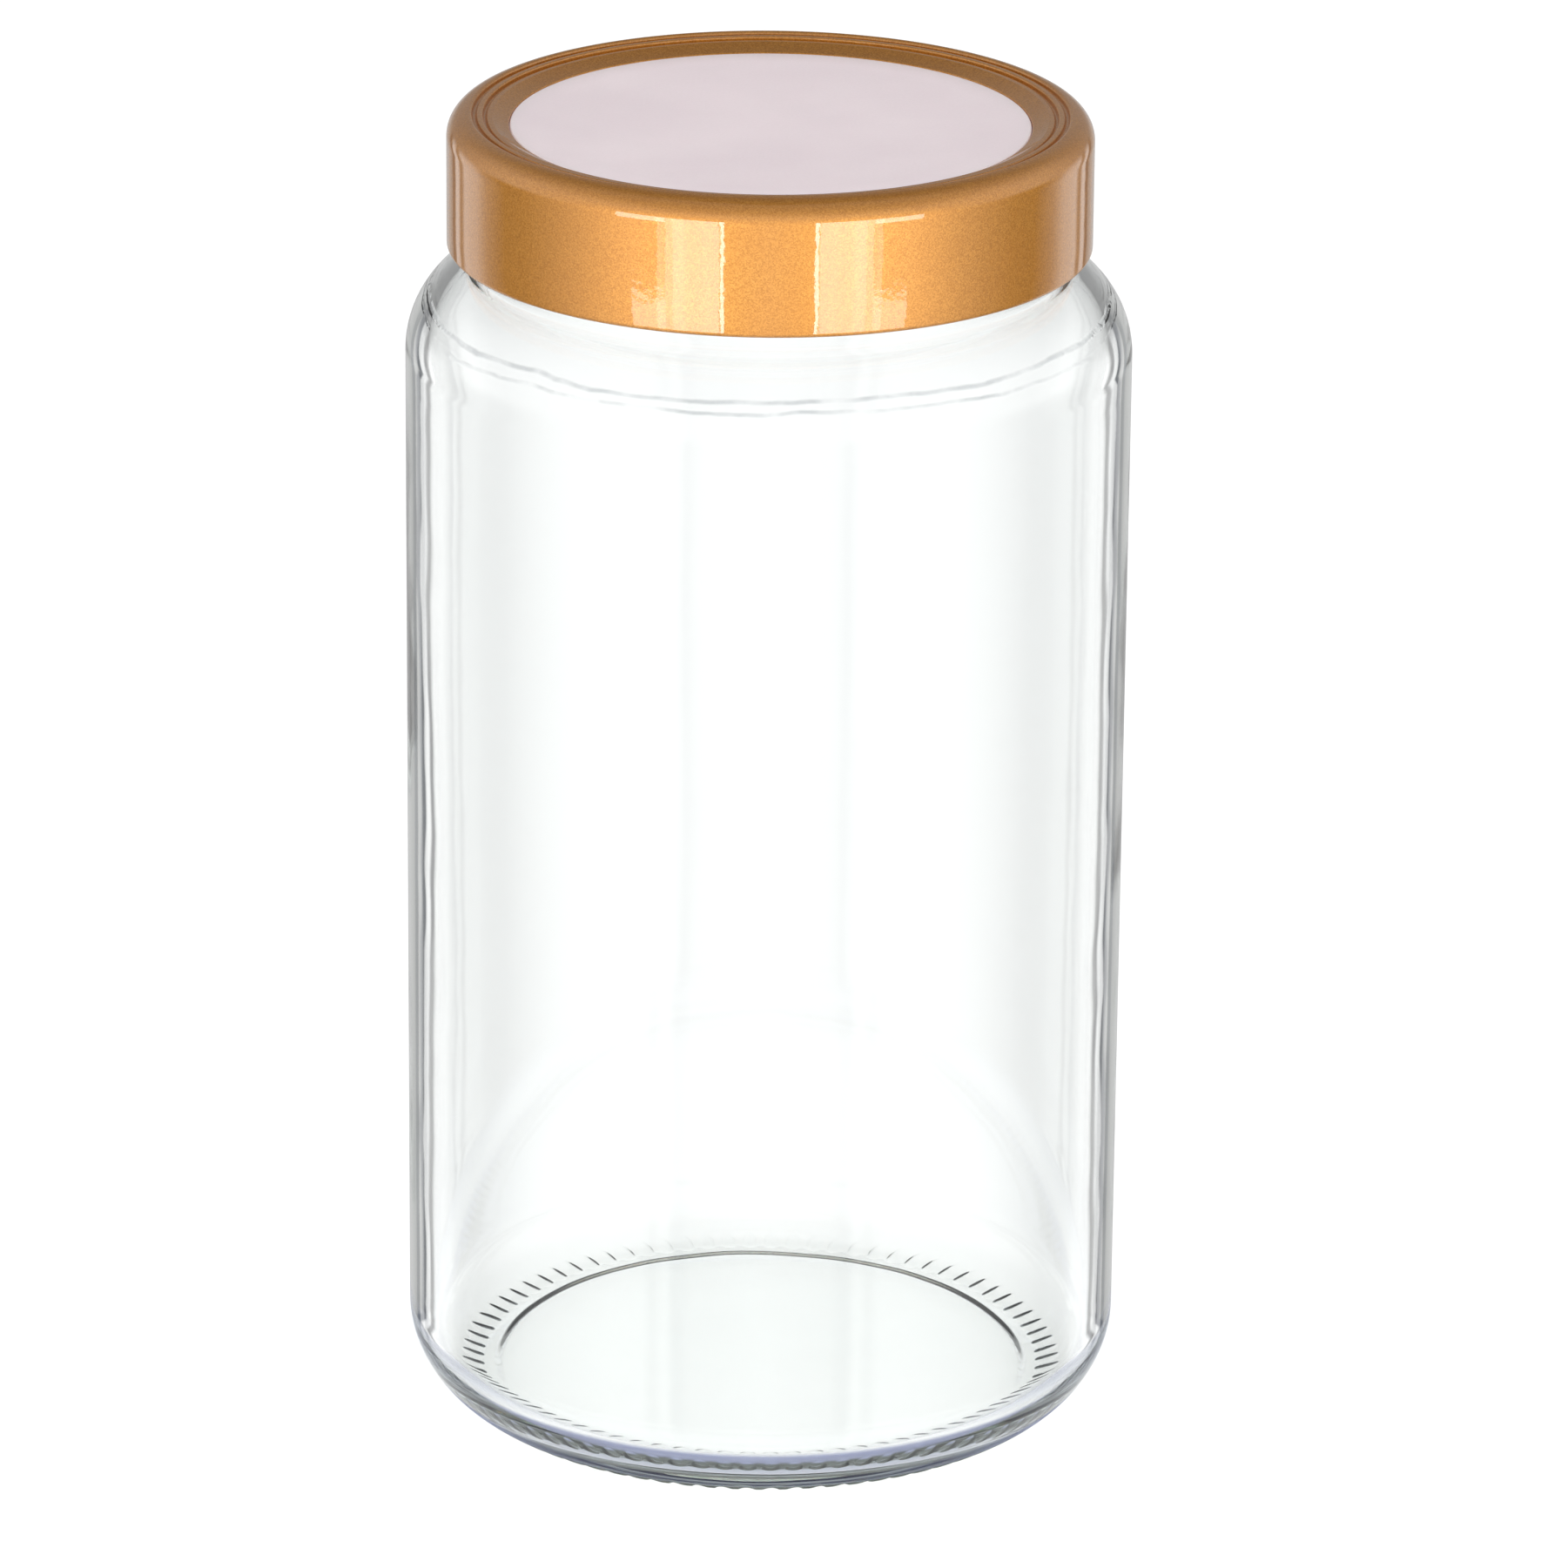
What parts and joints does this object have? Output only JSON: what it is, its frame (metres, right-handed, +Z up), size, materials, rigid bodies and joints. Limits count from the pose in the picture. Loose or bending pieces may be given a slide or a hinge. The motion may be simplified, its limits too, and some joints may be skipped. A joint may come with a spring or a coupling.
{
  "type": "screw-top storage jar",
  "caption": "Tall straight-sided clear glass storage jar with a gold screw band, a translucent window disc and a soft seal.",
  "frame": {"origin": "centre of the flat ring that the jar stands on", "axes": "+Z up along the jar's axis of symmetry, which is also the thread axis"},
  "size_m": [0.098, 0.098, 0.1836],
  "materials": {
    "clear_glass": "clear, polished",
    "gold_paint": "gold metallic-flake paint under a gloss coat",
    "frosted_plastic": "milky and translucent, softly polished",
    "silicone": "translucent white, matt"
  },
  "bodies": {
    "jar": {"glass_jar": "clear_glass"},
    "lid": {"window_disc": "frosted_plastic", "seal_ring": "silicone"},
    "band": {"screw_band": "gold_paint"}
  },
  "joints": [
    {"name": "lid_rise", "type": "slide", "parent": "jar", "child": "lid", "axis": [0, 0, 1], "range_m": [0, 0.0204]},
    {"name": "band_turn", "type": "hinge", "parent": "lid", "child": "band", "pos_m": [0, 0, 0.18], "axis": [0, 0, 1], "range_deg": [0, 1440]}
  ],
  "couplings": [
    {"joint": "lid_rise", "follows": "band_turn", "m_per_rad": 0.00080851}
  ]
}
